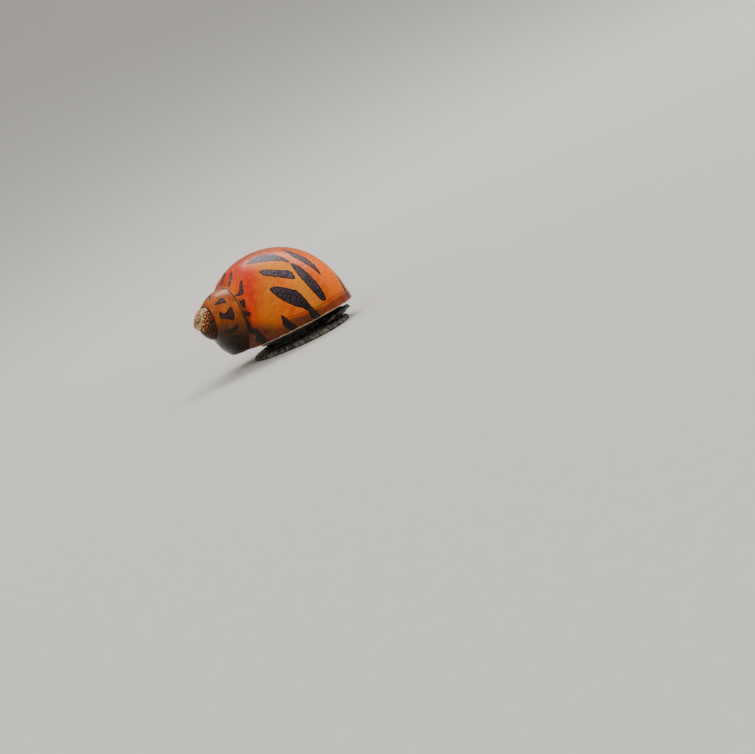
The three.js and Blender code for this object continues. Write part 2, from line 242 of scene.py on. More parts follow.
def ramp(value, low, high):
    """0 below low, 1 above high and smooth between."""
    share = np.clip((value - low) / (high - low), 0, 1)
    return share * share * (3 - 2 * share)


def waves(points, scale, seed):
    """Smooth seeded noise from about -1 to 1 with lumps about scale mm across."""
    made = np.random.default_rng(seed)
    total = np.zeros(len(points))
    for _ in range(18):
        direction = made.normal(size=3)
        direction /= np.linalg.norm(direction)
        length = scale * made.uniform(0.7, 1.5)
        total += np.sin(points @ direction * 2 * math.pi / length + made.uniform(0, 6.28))
    return total / 4.5


def line_distance(corners, turn, side, closed=False):
    """Distance in degrees of side from each point to a line of (turn, side) corners. Inside a closed
    line it is negative."""
    corners = np.asarray(corners, float)
    ends = np.roll(corners, -1, 0) if closed else corners[1:]
    near = np.full(turn.shape, 40.0)
    low, high = corners.min(0) - 40, corners.max(0) + 40
    close = (turn > low[0]) & (turn < high[0]) & (side > low[1]) & (side < high[1])
    x, y, nearest = turn[close] * 1.3, side[close], near[close]
    inside = np.zeros(x.shape, bool)
    for (x0, y0), (x1, y1) in zip(corners * [1.3, 1], ends * [1.3, 1]):
        span = (x1 - x0) ** 2 + (y1 - y0) ** 2
        share = np.clip(((x - x0) * (x1 - x0) + (y - y0) * (y1 - y0)) / span, 0, 1)
        nearest = np.minimum(nearest, np.hypot(x - x0 - share * (x1 - x0), y - y0 - share * (y1 - y0)))
        if closed and y0 != y1:
            crossing = x0 + (y - y0) / (y1 - y0) * (x1 - x0)
            inside ^= ((y0 > y) != (y1 > y)) & (x < crossing)
    near[close] = np.where(inside, -nearest, nearest)
    return near


# Where each point of the skin lies on the whorls; within 0.2 mm of one it counts as its face
FACE_REACH = 0.2
points, normals = shape_of(shell)
turn, side, height, next_height, next_turn = coil_place(points)
growth = growth_at(turn)
since_lip = turn - np.interp(side, lip_sides, lip_turns)
lip_mm = -since_lip * MM_PER_TURN_DEGREE * growth
lip_mm = np.where((side > SUTURE_SIDE - 8) & (side < 128) & (turn > 20), lip_mm, 99)
flat = (points[:, 2] < LIP_HEIGHT + 0.12) & (normals[:, 2] < -0.5)
whorl_face = (np.abs(height) < FACE_REACH) & (points[:, 2] > LIP_HEIGHT + 0.25) & ~flat
on_last_whorl = turn > LAST_WHORL_BEGINS
suture_mm = np.minimum(np.abs(next_height), 3)
younger = next_turn < turn
from_axis = points - apex - ((points - apex) @ coil_axis)[:, None] * coil_axis
axis_mm = np.linalg.norm(from_axis, axis=1)
worn = np.maximum(ramp(-turn, 530, 600), (1 - ramp(axis_mm, 0.9, 2.1)) * (turn < -380))

# The photograph's own viewpoint in mm, from which its pixels are found on the shell
VIEW_TURN, VIEW_RISE, VIEW_ROLL = (math.radians(a) for a in (-61, 10.66, 26.47))
PHOTO_MIDDLE, APEX_PIXEL, APEX_DEPTH = (377.5, 377.0), (187.556, 323.973), 160.0
LENS_MM, SENSOR_MM, PHOTO_WIDTH = 50, 36, 755
away = Vector((math.sin(VIEW_TURN) * math.cos(VIEW_RISE), -math.cos(VIEW_TURN) * math.cos(VIEW_RISE),
               math.sin(VIEW_RISE)))
level = Vector((math.cos(VIEW_TURN), math.sin(VIEW_TURN), 0))
upright = away.cross(level)
right = math.cos(VIEW_ROLL) * level - math.sin(VIEW_ROLL) * upright
over = math.sin(VIEW_ROLL) * level + math.cos(VIEW_ROLL) * upright
focal_pixels = LENS_MM / SENSOR_MM * PHOTO_WIDTH
aside = (APEX_PIXEL[0] - PHOTO_MIDDLE[0]) * APEX_DEPTH / focal_pixels
upward = (PHOTO_MIDDLE[1] - APEX_PIXEL[1]) * APEX_DEPTH / focal_pixels
viewpoint = Vector(apex) - aside * right - upward * over + APEX_DEPTH * away


def seen_places(outlines, turns, sides, step=0.25):
    """For each outline, the (turn, side) places on a whorl that show at its corners' photo pixels."""
    grid_turn, grid_side = np.meshgrid(np.arange(*turns, step), np.arange(*sides, step), indexing="ij")
    from_view = coil_point(grid_turn, grid_side) - np.array(viewpoint)
    depth = -(from_view @ np.array(away))
    x = PHOTO_MIDDLE[0] + focal_pixels * (from_view @ np.array(right)) / depth
    y = PHOTO_MIDDLE[1] - focal_pixels * (from_view @ np.array(over)) / depth
    # The far side of the whorl shows its grid the other way round, and is left out
    x_by_turn, x_by_side = np.gradient(x)
    y_by_turn, y_by_side = np.gradient(y)
    faces_view = x_by_turn * y_by_side < x_by_side * y_by_turn
    grid_turn, grid_side, x, y = (values[faces_view] for values in (grid_turn, grid_side, x, y))
    for outline in outlines:
        nearest = [np.argmin(np.hypot(x - corner_x, y - corner_y)) for corner_x, corner_y in outline]
        yield np.column_stack([grid_turn[nearest], grid_side[nearest]])


# The growth check: a line that runs beside the lip, where the shell paused while it grew. The
# photograph shows it from side -13 to 54, and beyond that it goes on in the same way.
SEEN_TURNS, SEEN_SIDES = (-40, 152), (-66, 92)
SEEN_CHECK = [(290, 316.5), (303, 312.5), (323.5, 303.5), (333, 297), (342, 291.3)]
check_places = next(seen_places([SEEN_CHECK], SEEN_TURNS, SEEN_SIDES))
check_turns, check_sides = np.vstack([(101, -22), check_places, (81, 80)]).T
check_mm = (turn - np.interp(side, check_sides, check_turns)) * MM_PER_TURN_DEGREE
check_mm = np.where(on_last_whorl & (turn > 60) & (side > -22), check_mm, -5)

# The small relief of the shell in mm: growth lines, raised sutures, the check, and the worn tip, which
# has lost 0.13 mm and is lumpy and grained
along = since_lip * MM_PER_TURN_DEGREE * growth
across = side * MM_PER_SIDE_DEGREE * growth
drift = (side + 0.5 * (turn - 60)) * MM_PER_SIDE_DEGREE * growth
coil_mm = np.stack([along, across, drift], -1)
# Points near the true whorl are drawn onto it; the rounded base keeps its own form
relief = -height * ramp(suture_mm, 0.1, 0.3) * ramp(FACE_REACH - np.abs(height), 0, 0.14) * whorl_face
lines = waves(coil_mm * [1, 0.04, 0], 1.1, 5) + 0.5 * waves(coil_mm * [1, 0.05, 0], 0.5, 6)
relief += np.where(whorl_face, 0.006 * lines * (1 - worn), 0)
ridge = np.exp(-((suture_mm - 0.28) / 0.16) ** 2) * younger * whorl_face
relief += 0.05 * ridge
grains = waves(points, 0.42, 8)
relief += worn * (0.05 * waves(points, 1.2, 7) + 0.07 * grains - 0.13)
relief -= 0.025 * np.exp(-(check_mm / 0.07) ** 2) * whorl_face
relief += 0.015 * np.exp(-((check_mm - 0.16) / 0.07) ** 2) * whorl_face
points += normals * relief[:, None]
move_points(shell, points)

# The dark strokes that show from the photograph's viewpoint: the corners of each outline, read in its
# pixels
SEEN_ON_LAST_WHORL = [
    [(247.6, 264), (252, 259.2), (266, 253.9), (281, 256.3), (290.3, 262.6), (279, 260.9), (263, 261.8)],
    [(259.3, 272.3), (263, 269.7), (277, 269.5), (288, 270.2), (292.5, 272.8), (294.8, 278.6), (287, 278.4),
     (266, 275.8)],
    [(269.7, 289.6), (275.5, 286.2), (291, 288.7), (297.5, 290.8), (311.5, 306), (321.2, 316.3),
     (312.6, 318.5), (306.5, 310), (295, 306.3), (280, 298.6)],
    [(290.2, 264), (293, 263.2), (300, 266.5), (310.5, 275.5), (319, 285.3), (325.6, 296.5), (325.6, 300.3),
     (320, 299), (307.3, 285.2), (297.5, 274)],
    [(279.5, 248.8), (292, 252.1), (301.7, 255.7), (309, 260), (316.3, 267), (321, 275.5), (313, 268.8),
     (301.7, 261.8), (291, 255.6)],
    [(281, 314.6), (291.5, 322.3), (297.5, 326.6), (291.5, 330.2), (284.3, 325.7)],
    [(225.3, 271.8), (225.6, 274.5), (221.2, 286), (220.3, 285.5), (222, 279)],
    [(231.8, 271.5), (232.3, 276.7), (229.3, 287), (228.5, 283.3), (229.5, 276.3)],
    [(241.6, 280), (242.9, 288), (243.2, 294), (236, 296.6), (233.8, 296.2), (238.8, 292), (239.4, 284.2)],
    [(236.8, 297.6), (239.8, 300.4), (244.4, 299.6), (244.6, 308.4), (239.6, 302.8)],
    [(242.6, 311.4), (245.4, 311), (250.8, 312.6), (248.4, 316.4), (243.4, 313.6)],
    [(247.2, 323.2), (253, 327.4), (261.5, 333), (267.2, 342.8), (255.5, 341), (256.2, 335.2),
     (248.1, 332.4)],
]
SEEN_ON_SPIRE = [
    [(209.3, 295.8), (210.6, 296.2), (210.2, 300.5), (209.2, 299)],
    [(214.6, 304.3), (217.5, 300.8), (220.3, 297.6), (222.4, 297.4), (226.6, 302.6), (220.8, 303.5),
     (217, 304.9)],
    [(218.8, 313), (220, 312), (223.5, 313.3), (226.5, 312), (230.5, 306.2), (232.7, 310), (234.5, 316),
     (233, 319.8), (226, 319), (220.8, 318.7)],
    [(224, 331.3), (226, 330), (231, 328.6), (236, 325.2), (238.6, 325.2), (238, 328.4), (234.5, 331.6),
     (230, 333.4), (225, 332.9)],
    [(225.6, 336.6), (229, 335.6), (237, 335.2), (240.3, 336.6), (238, 338.6), (232, 339), (227.5, 338)],
    [(226, 343.8), (232, 341.8), (243, 346), (241, 349.4), (227.6, 348.8), (225, 346)],
]
STROKES = [*seen_places(SEEN_ON_LAST_WHORL, SEEN_TURNS, SEEN_SIDES),
           *seen_places(SEEN_ON_SPIRE, (-420, -180), (-66, 30))]
# Two that are hard to see, in degrees along the whorl: one on the rim, and one beside the suture
STROKES += [[(64, 66), (74, 68), (83, 66), (90, 67), (91, 62), (82, 60), (73, 62)],
            [(80, -67), (86, -62), (98, -61), (108, -58), (112, -66)]]
# The side away from the view carries more of the same sort, in rows: (side, first turn, last turn)
STROKE_ROWS = ((-50, -185, -14), (-12, -178, 14), (24, -200, 22), (58, -190, 30), (92, -150, 74),
               (122, -60, 60), (-32, -560, -352))
STROKE_SPACING, STROKES_START = 25, -540
scatter = np.random.default_rng(21)
for row_side, first_turn, last_turn in STROKE_ROWS:
    for row_turn in np.arange(first_turn, last_turn, STROKE_SPACING):
        middle = np.array([row_turn, row_side]) + scatter.uniform(-4, 4, 2)
        half_length, half_width = scatter.uniform(9, 15), scatter.uniform(4, 6.5)
        around = np.radians(np.arange(0, 360, 45))
        along_stroke = half_length * np.cos(around)
        unevenness = scatter.uniform(0.8, 1.2, 8)
        over_stroke = half_width * np.sin(around) * (1 - 0.4 * np.cos(around)) * unevenness
        slanted = middle + np.column_stack([0.65 * along_stroke + over_stroke, along_stroke])
        STROKES.append(slanted)


def rounded(corners, steps=5):
    """A closed outline that bends smoothly through its corners."""
    here = np.asarray(corners, float)
    before, after, beyond = (np.roll(here, shift, 0) for shift in (1, -1, -2))
    rows = []
    for t in np.arange(steps) / steps:
        bend = (2 * before - 5 * here + 4 * after - beyond) * t ** 2
        bend += (3 * (here - after) + beyond - before) * t ** 3
        rows.append(here + ((after - before) * t + bend) / 2)
    return np.stack(rows, 1).reshape(-1, 2)


stroke = np.full(turn.shape, 40.0)
for corners in STROKES:
    stroke = np.minimum(stroke, line_distance(rounded(corners), turn, side, closed=True))
stroke_mm = np.where(turn < STROKES_START, 3, stroke * MM_PER_SIDE_DEGREE * growth)
ragged = 0.03 * waves(points, 0.6, 12) + 0.015 * waves(points, 0.3, 13)
stroke_mm = stroke_mm + ragged

# Where each colour of the ground lies: soft bands along the last whorl, (turn, side) in degrees. The
# red one runs down beside the suture, through two places that are read from the photograph.
SEEN_RED = [(249, 305), (248.5, 318)]
red_low_down = next(seen_places([SEEN_RED], SEEN_TURNS, SEEN_SIDES))
RED_BAND = [(-200, -44), (0, -40), (25, -34), (45, -34), (62, -41), *red_low_down, (120, -62)]
OCHRE_BAND = ((50, -16), (62, -21), (80, -29), (95, -37), (112, -40))
# The pale band is partly a paler tan of the skin and partly a painted sheen between the strokes
PALE_BAND = ((45, -12), (54, 2), (66, 6), (78, 8), (90, 12))
BAND_HALF_WIDTH, PALE_HALF_WIDTH = 15, 9
red_distance, ochre_distance = (line_distance(band, turn, side) for band in (RED_BAND, OCHRE_BAND))
red = np.exp(-(red_distance / BAND_HALF_WIDTH) ** 2) * on_last_whorl
ochre = np.exp(-(ochre_distance / BAND_HALF_WIDTH) ** 2) * on_last_whorl
pale = np.exp(-(line_distance(PALE_BAND, turn, side) / PALE_HALF_WIDTH) ** 2) * on_last_whorl
bright = ramp(side, 28, 42) * (1 - ramp(side, 66, 90)) * ramp(turn, 40, 66) * on_last_whorl
ember = ramp(check_mm, -0.15, 0.7) * ramp(side, -24, -10) * on_last_whorl
# The lower band is partly a browner skin and partly painted shade, low on the whorl by the lip and by the
# suture
lower = np.maximum(ramp(turn, 97, 113), 0.9 * ramp(check_mm, 0, 0.8)) * ramp(30 - side, 0, 26)
lower = np.maximum(lower, 0.9 * ramp(turn, 50, 86) * ramp(-52 - side, 0, 6)) * on_last_whorl
older = (1 - ramp(turn, 0, 52)) * on_last_whorl
spire = 1 - ramp(turn, -218, -200)

# Painted shade darkens the low side of the spire, and a painted sheen pales the strokes on the crown of the
# dome
low_way = 0.26 * coil_forward - 0.966 * coil_up
spire_painted_shade = ramp(from_axis @ low_way / (axis_mm + 0.8), -0.1, 0.78)
spire_painted_shade *= (1 - ramp(turn, -150, -90)) * (1 - ramp(side, 30, 70))
crown_painted_sheen = 0.5 * ramp(points[:, 2], 12.4, 14.4) * ramp(turn, 8, 28) * (1 - ramp(red, 0.5, 0.9))

# Bare lime shows on the underside; dirt lies in the pits of the tip, and dirt with painted shade darkens
# its low side;
# and a thin ledge of the younger whorl stands along each suture, weaker round the tip, with a painted
# highlight high up
over_lip = points[:, 2] - LIP_HEIGHT
underside = ramp(0.24 - over_lip, 0, 0.14) * ramp(-normals[:, 2], 0.3, 0.6)
underside = np.maximum(underside, ramp(-height, 0.2, 0.4) * ramp(1.75 - over_lip, 0, 0.3))
# Darker on the tip's low side: partly dirt and partly painted shade
tip_dirt_and_shade = ((points - tip_middle) @ np.array([0.24, -0.69, -0.68]) + 0.9) / 2.6
tip_dirt_and_shade = np.maximum(tip_dirt_and_shade, 0.24 + 0.1 * waves(points, 1.6, 10)) - 0.32 * grains
pale_ledge_and_highlight = np.exp(-((suture_mm - 0.15) / 0.08) ** 2) * younger * whorl_face * (1 - spire_painted_shade)
pale_ledge_and_highlight *= np.where(turn < SPIRE_BEGINS + 360, 0.3, 1)


def keep_value(piece, name, values):
    """Stores one number, or three, for each point of a piece, for its material to read."""
    values = np.asarray(values, np.float32)
    single = values.ndim == 1
    made = piece.data.attributes.new(name, "FLOAT" if single else "FLOAT_VECTOR", "POINT")
    made.data.foreach_set("value" if single else "vector", values.ravel())


keep_value(shell, "coil_mm", coil_mm)
keep_value(shell, "stroke_mm", stroke_mm)
keep_value(shell, "lip_mm", lip_mm)
keep_value(shell, "suture_mm", np.where(younger, 1.0, -1.0) * suture_mm)
keep_value(shell, "check_mm", check_mm)
keep_value(shell, "warm_bands", np.stack([red, np.clip(ochre, 0, 1), bright], -1))
keep_value(shell, "dark_bands", np.stack([ember, lower, older], -1))
keep_value(shell, "places", np.stack([spire, worn, underside], -1))
keep_value(shell, "low_places", np.stack([spire_painted_shade, tip_dirt_and_shade, pale_ledge_and_highlight], -1))
keep_value(shell, "pale_band", pale)
keep_value(shell, "crown_painted_sheen", crown_painted_sheen)


def linear(hex_colour):
    """An sRGB hex colour as the linear RGBA that a shader takes."""
    parts = [int(hex_colour[i:i + 2], 16) / 255 for i in (1, 3, 5)]
    return [p / 12.92 if p <= 0.04045 else ((p + 0.055) / 1.055) ** 2.4 for p in parts] + [1]


def node(tree, kind, inputs=(), **settings):
    """Adds a node with its settings, values and links, and returns its outputs."""
    made = tree.nodes.new("ShaderNode" + kind)
    for key, value in settings.items():
        setattr(made, key, value)
    for key, value in dict(inputs).items():
        if isinstance(value, bpy.types.NodeSocket):
            tree.links.new(value, made.inputs[key])
        else:
            made.inputs[key].default_value = value
    return made.outputs


# Periostracum over aragonite: a thin horny skin, kept wet, that grew in lines over limy whorls.
# To the eye: deep orange, ochre and red under a soft sheen, crossed by dull plum-grey strokes.
COLOUR = {"data_type": "RGBA"}
SOFT = {"interpolation_type": "SMOOTHSTEP"}
TIMES = {"operation": "MULTIPLY"}
MM = (1000, 1000, 1000)
horny_skin = bpy.data.materials.new("glossy_periostracum")
horny_skin.use_nodes = True
tree = horny_skin.node_tree
tree.nodes.clear()
in_mm = node(tree, "VectorMath", {0: node(tree, "TexCoord")["Object"], 1: MM}, **TIMES)[0]
coil = node(tree, "Attribute", attribute_name="coil_mm")["Vector"]
warm, dark, place, low = (
    node(tree, "SeparateXYZ", {0: node(tree, "Attribute", attribute_name=name)["Vector"]})
    for name in ("warm_bands", "dark_bands", "places", "low_places"))

# Growth lines lie about 0.25 mm apart; streaks of colour beside them are 0.7 mm wide and 3 mm long
lines_at = node(tree, "VectorMath", {0: coil, 1: (4.0, 0.16, 1)}, **TIMES)[0]
growth_lines = node(tree, "TexNoise", {"Vector": lines_at, "Scale": 1, "Detail": 3, "Roughness": 0.6})[0]
streaks_at = node(tree, "VectorMath", {0: coil, 1: (1.4, 0.33, 1)}, **TIMES)[0]
streaks = node(tree, "TexNoise", {"Vector": streaks_at, "Scale": 1, "Detail": 4, "Roughness": 0.6})[0]
mottle = node(tree, "TexNoise", {"Vector": in_mm, "Scale": 1.1, "Detail": 5, "Roughness": 0.62})[0]
streak_share = node(tree, "MapRange", {0: streaks, 1: 0.36, 2: 0.64}, **SOFT)[0]
mottle_share = node(tree, "MapRange", {0: mottle, 1: 0.36, 2: 0.64}, **SOFT)[0]
surface = node(tree, "Mix", {0: streak_share, 6: linear("#d85404"), 7: linear("#f06c06")}, **COLOUR)[2]
ochre_skin = node(tree, "Mix", {0: streak_share, 6: linear("#ce6804"), 7: linear("#da7605")}, **COLOUR)[2]
red_skin = node(tree, "Mix", {0: mottle_share, 6: linear("#c02408"), 7: linear("#dc3c10")}, **COLOUR)[2]
brown_skin = node(tree, "Mix", {0: streak_share, 6: linear("#8c300a"), 7: linear("#a84410")}, **COLOUR)[2]
# The lower band's colour: partly the skin's own brown and partly painted shade
low_skin = node(tree, "Mix", {0: mottle_share, 6: linear("#542008"), 7: linear("#743208")}, **COLOUR)[2]
old_skin = node(tree, "Mix", {0: mottle_share, 6: linear("#882a0c"), 7: linear("#a03e12")}, **COLOUR)[2]
spire_skin = node(tree, "Mix", {0: mottle_share, 6: linear("#94400c"), 7: linear("#b45c18")}, **COLOUR)[2]

# Each ground colour in its band, the last being painted shade on the low side of the spire; then darker in
# the growth lines, darker low down as painted shade, and brighter for 0.2 mm round each stroke
# The pale band: partly the skin's paler tan and partly a painted sheen
pale = node(tree, "Attribute", attribute_name="pale_band")["Fac"]
pale = node(tree, "Math", {0: pale, 1: 0.8}, **TIMES)[0]
for share, skin_colour in ((dark[2], old_skin), (warm[1], ochre_skin), (warm[0], red_skin),
                           (warm[2], linear("#fe7206")), (pale, linear("#e08c26")),
                           (dark[0], brown_skin), (dark[1], low_skin),
                           (place[0], spire_skin), (low[0], linear("#30190c"))):
    surface = node(tree, "Mix", {0: share, 6: surface, 7: skin_colour}, **COLOUR)[2]
line_shade = node(tree, "MapRange", {0: growth_lines, 1: 0.3, 2: 0.7, 3: 0.94, 4: 1.03}, **SOFT)[0]
rise = node(tree, "SeparateXYZ", {0: in_mm})[2]
# Painted shade: the ground grows darker towards the lip and the floor
rise_shade = node(tree, "MapRange", {0: rise, 1: 2.5, 2: 9.5, 3: 0.68, 4: 1.05})[0]
line_shade = node(tree, "Math", {0: line_shade, 1: rise_shade}, **TIMES)[0]
stroke_at = node(tree, "Attribute", attribute_name="stroke_mm")["Fac"]
rim_shade = node(tree, "MapRange", {0: stroke_at, 1: 0.06, 2: 0.3, 3: 1.1, 4: 1}, **SOFT)[0]
line_shade = node(tree, "Math", {0: line_shade, 1: rim_shade}, **TIMES)[0]
surface = node(tree, "VectorMath", {0: surface, "Scale": line_shade}, operation="SCALE")[0]

# The strokes: near-black edges round a plum middle with a leathery grain of about 0.3 mm. The middle
# is umber beside the spire and low down, where it is partly painted shade; it is painted lighter higher up
# and darker low down as painted light and shade, and has a painted lilac sheen on the crown.
grain = node(tree, "TexNoise", {"Vector": in_mm, "Scale": 3.4, "Detail": 4, "Roughness": 0.6})[0]
grain_share = node(tree, "MapRange", {0: grain, 1: 0.36, 2: 0.66}, **SOFT)[0]
middle_share = node(tree, "MapRange", {0: stroke_at, 1: -0.26, 2: -0.08, 3: 1, 4: 0}, **SOFT)[0]
in_stroke = node(tree, "MapRange", {0: stroke_at, 1: -0.05, 2: 0.05, 3: 1, 4: 0}, **SOFT)[0]
plum = node(tree, "Mix", {0: grain_share, 6: linear("#160d14"), 7: linear("#503d4a")}, **COLOUR)[2]
umber_share = node(tree, "Math", {0: warm[0], 1: place[0]}, operation="ADD")[0]
umber_share = node(tree, "Math", {0: umber_share, 1: dark[1]}, operation="ADD")[0]
umber_share = node(tree, "MapRange", {0: umber_share, 1: 0.2, 2: 1, 3: 0, 4: 0.85}, **SOFT)[0]
umber = node(tree, "Mix", {0: grain_share, 6: linear("#180a06"), 7: linear("#3c2014")}, **COLOUR)[2]
plum = node(tree, "Mix", {0: umber_share, 6: plum, 7: umber}, **COLOUR)[2]
plum = node(tree, "Mix", {0: middle_share, 6: linear("#180a06"), 7: plum}, **COLOUR)[2]
# Painted light and shade: the strokes are darker low down and lighter high up
plum_shade = node(tree, "MapRange", {0: rise, 1: 4.5, 2: 12.5, 3: 0.22, 4: 1.8})[0]
plum = node(tree, "VectorMath", {0: plum, "Scale": plum_shade}, operation="SCALE")[0]
# Painted sheen: the strokes on the crown of the dome turn a pale lilac, grain by grain
painted_stroke_sheen = node(tree, "Attribute", attribute_name="crown_painted_sheen")["Fac"]
painted_stroke_sheen = node(tree, "Math", {0: painted_stroke_sheen, 1: grain_share}, **TIMES)[0]
plum = node(tree, "Mix", {0: painted_stroke_sheen, 6: plum, 7: linear("#ac9fb8")}, **COLOUR)[2]
surface = node(tree, "Mix", {0: in_stroke, 6: surface, 7: plum}, **COLOUR)[2]

# The sutures: a thin pale ledge on the younger whorl, kept pale high up as a painted highlight and fading
# low down, and a dark line where the whorls meet, which is laid on after the worn tip
suture_at = node(tree, "Attribute", attribute_name="suture_mm")["Fac"]
pale_ledge_and_highlight = node(tree, "MapRange", {0: mottle_share, 3: 0.35, 4: 0.75})[0]
pale_ledge_and_highlight = node(tree, "Math", {0: low[2], 1: pale_ledge_and_highlight}, **TIMES)[0]
# Painted highlight: the ledge shows pale only high up
highlight_up_high = node(tree, "MapRange", {0: rise, 1: 8, 2: 11})[0]
pale_ledge_and_highlight = node(tree, "Math", {0: pale_ledge_and_highlight, 1: highlight_up_high}, **TIMES)[0]
surface = node(tree, "Mix", {0: pale_ledge_and_highlight, 6: surface, 7: linear("#d8a078")}, **COLOUR)[2]
old_side = node(tree, "MapRange", {0: suture_at, 1: -0.3, 2: -0.02}, **SOFT)[0]
young_side = node(tree, "MapRange", {0: suture_at, 1: 0, 2: 0.1, 3: 1, 4: 0}, **SOFT)[0]
seam = node(tree, "Math", {0: old_side, 1: young_side}, **TIMES)[0]

# The growth check is a thin dark line, and the lip ends in a limy rim 0.12 to 0.25 mm wide
check_at = node(tree, "Attribute", attribute_name="check_mm")["Fac"]
from_check = node(tree, "Math", {0: check_at}, operation="ABSOLUTE")[0]
check_line = node(tree, "MapRange", {0: from_check, 1: 0.03, 2: 0.12, 3: 0.55, 4: 0}, **SOFT)[0]
surface = node(tree, "Mix", {0: check_line, 6: surface, 7: linear("#4c1c0a")}, **COLOUR)[2]
lip_at = node(tree, "Attribute", attribute_name="lip_mm")["Fac"]
lip_edge = node(tree, "MapRange", {0: mottle, 1: 0.35, 2: 0.65, 3: 0.12, 4: 0.25}, **SOFT)[0]
lip_share = node(tree, "Math", {0: lip_at, 1: lip_edge}, operation="LESS_THAN")[0]
surface = node(tree, "Mix", {0: lip_share, 6: surface, 7: linear("#a8886a")}, **COLOUR)[2]

# The tip has lost its skin: chalky cream above, brown in its pits of about 0.3 mm, and darker below with
# dirt and painted shade
pits = node(tree, "TexNoise", {"Vector": in_mm, "Scale": 3.2, "Detail": 3, "Roughness": 0.6})[0]
chalk = node(tree, "Mix", {0: mottle_share, 6: linear("#9a7048"), 7: linear("#e0c69a")}, **COLOUR)[2]
dirt_and_shade_here = node(tree, "Math", {0: pits, 1: -0.9, 2: low[1]}, operation="MULTIPLY_ADD")[0]
for start, dirt_and_shade_colour in ((-0.14, "#84421e"), (0.26, "#34190e")):
    dirt_and_shade_share = node(tree, "MapRange", {0: dirt_and_shade_here, 1: start, 2: start + 0.2}, **SOFT)[0]
    chalk = node(tree, "Mix", {0: dirt_and_shade_share, 6: chalk, 7: linear(dirt_and_shade_colour)}, **COLOUR)[2]
worn_edge = node(tree, "MapRange", {0: pits, 1: 0.3, 2: 0.7, 3: -0.25, 4: 0.25}, **SOFT)[0]
worn_here = node(tree, "Math", {0: place[1], 1: worn_edge}, operation="ADD")[0]
worn_here = node(tree, "MapRange", {0: worn_here, 1: 0.35, 2: 0.6}, **SOFT)[0]
surface = node(tree, "Mix", {0: worn_here, 6: surface, 7: chalk}, **COLOUR)[2]
surface = node(tree, "Mix", {0: seam, 6: surface, 7: linear("#3c1c10")}, **COLOUR)[2]

# The underside: the callus, bare lime in a dull cream
callus = node(tree, "Mix", {0: mottle_share, 6: linear("#c8bca4"), 7: linear("#9c8a72")}, **COLOUR)[2]
surface = node(tree, "Mix", {0: place[2], 6: surface, 7: callus}, **COLOUR)[2]

# The finest relief in mm: growth lines 0.014 deep, the grain of the strokes, and the pits of the tip
relief = node(tree, "Math", {0: growth_lines, 1: 0.014}, **TIMES)[0]
stroke_grain = node(tree, "Math", {0: grain, 1: in_stroke}, **TIMES)[0]
tip_grain = node(tree, "Math", {0: pits, 1: worn_here}, **TIMES)[0]
for height_of, depth in ((stroke_grain, 0.18), (tip_grain, 0.16)):
    relief = node(tree, "Math", {0: height_of, 1: depth, 2: relief}, operation="MULTIPLY_ADD")[0]
bump = node(tree, "Bump", {"Height": relief, "Distance": 0.001, "Strength": 0.9})[0]
rough = node(tree, "MapRange", {0: growth_lines, 1: 0.3, 2: 0.7, 3: 0.26, 4: 0.34}, **SOFT)[0]
for share, more in ((in_stroke, 0.04), (worn_here, 0.4)):
    rough = node(tree, "Math", {0: share, 1: more, 2: rough}, operation="MULTIPLY_ADD")[0]
shader = node(tree, "BsdfPrincipled", {
    "Base Color": surface, "Roughness": rough, "IOR": 1.33, "Normal": bump,
    "Coat Weight": 0.15, "Coat Roughness": 0.15, "Coat IOR": 1.4,
    "Specular IOR Level": 0.4, "Specular Tint": (1, 0.86, 0.72, 1),
    "Subsurface Weight": 0.05, "Subsurface Radius": (1, 0.4, 0.2), "Subsurface Scale": 0.0006})
node(tree, "OutputMaterial", {"Surface": shader[0]})
shell.data.materials.append(horny_skin)


def finish_piece(piece, slot_name, *replaced_nodes):
    """Brings a piece from millimetres to metres, smooths its shading and ties it to the model."""
    piece.data.transform(Matrix.Scale(0.001, 4))
    piece.data.shade_smooth()
    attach(piece, "root")
    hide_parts(*replaced_nodes)


finish_piece(shell, "shell_last_whorl", "shell_body_whorl", "shell_spire_whorl", "shell_apex")

# The soft body: one moist skin over foot, head, feelers and mantle, near-black with grey mottling.
# The sole is 17.2 by 12.4 mm and flat on the floor; its margin is thin, paler and finely folded.
# The body rises from it into the opening of the shell, and the snout looks out under the lip.
FOOT_LENGTH, FOOT_WIDTH, FOOT_FOLDS = 17.2, 12.4, 28
HEAD_TIP_Y, HEAD_MIDDLE_X, HEAD_MIDDLE_Z = -8.7, 1.2, 1.6
HEAD_HALF_WIDTH, HEAD_HALF_HEIGHT = 2.55, 0.62
FEELER_PATH = ((1.2, 2.6, 0), (1.7, 1.7, 0), (2.45, 1.1, -0.05), (3.2, 1, -0.15), (3.95, 1.45, -0.32))
FEELER_RADII = (0.45, 0.42, 0.36, 0.27, 0.15)
STALK_RADIUS, STALK_ON_HEAD = 0.5, (2.5, 2.75, 0.1)


def circle(count):
    return np.linspace(0, 2 * math.pi, count, endpoint=False)


def foot_ring(z, scale, folds):
    """A level of the foot: broader in front than behind, with folds round its margin."""
    angle = circle(336)
    fold = folds * (0.07 * np.cos(FOOT_FOLDS * angle) + 0.05 * np.cos(2.3 * FOOT_FOLDS * angle + 1))
    front = np.cos(angle)
    wide = (FOOT_WIDTH / 2 * scale + fold) * (1 + 0.1 * front) * np.sin(angle)
    long = -(FOOT_LENGTH / 2 * scale + fold) * np.sign(front) * np.abs(front) ** 0.86
    return np.column_stack([wide, long, np.full(angle.shape, z)])


def opening_ring(inset, z):
    """The outline of the shell's opening, drawn in by a distance."""
    middle = opening[:, :2].mean(0)
    out = opening[:, :2] - middle
    far = np.linalg.norm(out, axis=1)[:, None]
    return np.column_stack([middle + out * np.maximum(far - inset, 0.3) / far, np.full(len(opening), z)])


